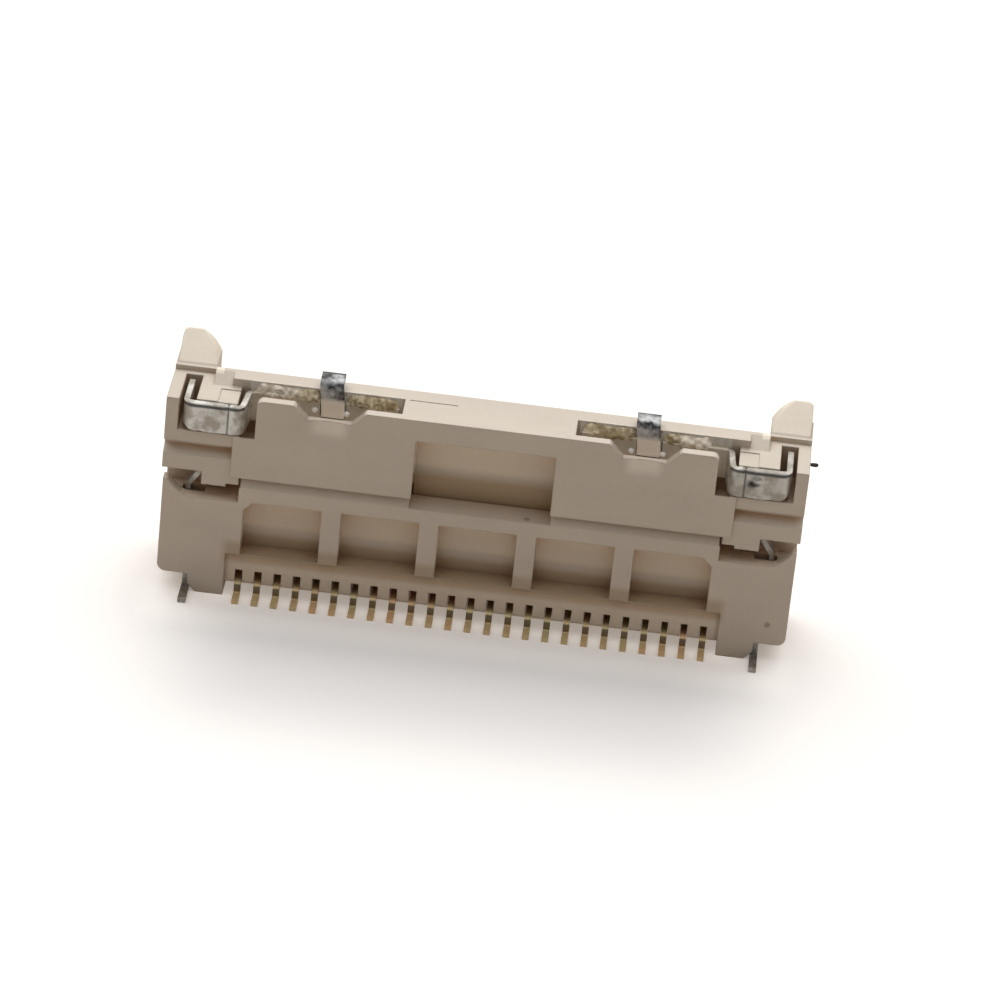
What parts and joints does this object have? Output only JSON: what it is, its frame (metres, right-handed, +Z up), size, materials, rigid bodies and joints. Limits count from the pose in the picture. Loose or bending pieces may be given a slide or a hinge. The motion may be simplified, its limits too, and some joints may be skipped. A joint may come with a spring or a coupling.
{
  "type": "fpc connector",
  "caption": "Vertical surface-mount connector for a flexible printed circuit, with a push-down slider, a row of fine-pitch contacts and bent metal clips.",
  "frame": {"origin": "middle of the footprint on the board plane, from the tips of the hold-down feet to the back of the mouldings", "axes": "+X along the contact row to the right as seen from the front, +Y from the front panel towards the flex slot and back, +Z up from the board"},
  "size_m": [0.0164, 0.0034, 0.0062],
  "materials": {
    "housing": "matte moulded",
    "slider": "matte moulded",
    "contact": "gold plated",
    "clip": "tin plated, satin",
    "hold_down": "tin plated, satin"
  },
  "bodies": {
    "base": {"base_housing": "housing", "contact_01": "contact", "contact_02": "contact", "contact_03": "contact", "contact_04": "contact", "contact_05": "contact", "contact_06": "contact", "contact_07": "contact", "contact_08": "contact", "contact_09": "contact", "contact_10": "contact", "contact_11": "contact", "contact_12": "contact", "contact_13": "contact", "contact_14": "contact", "contact_15": "contact", "contact_16": "contact", "contact_17": "contact", "contact_18": "contact", "contact_19": "contact", "contact_20": "contact", "contact_21": "contact", "contact_22": "contact", "contact_23": "contact", "contact_24": "contact", "contact_25": "contact", "left_hold_down": "hold_down", "right_hold_down": "hold_down"},
    "actuator": {"slider": "slider", "left_clip": "clip", "right_clip": "clip"}
  },
  "joints": [
    {"name": "slider_press", "type": "slide", "parent": "base", "child": "actuator", "axis": [0, 0, 1], "range_m": [-0.00028, 0]}
  ]
}
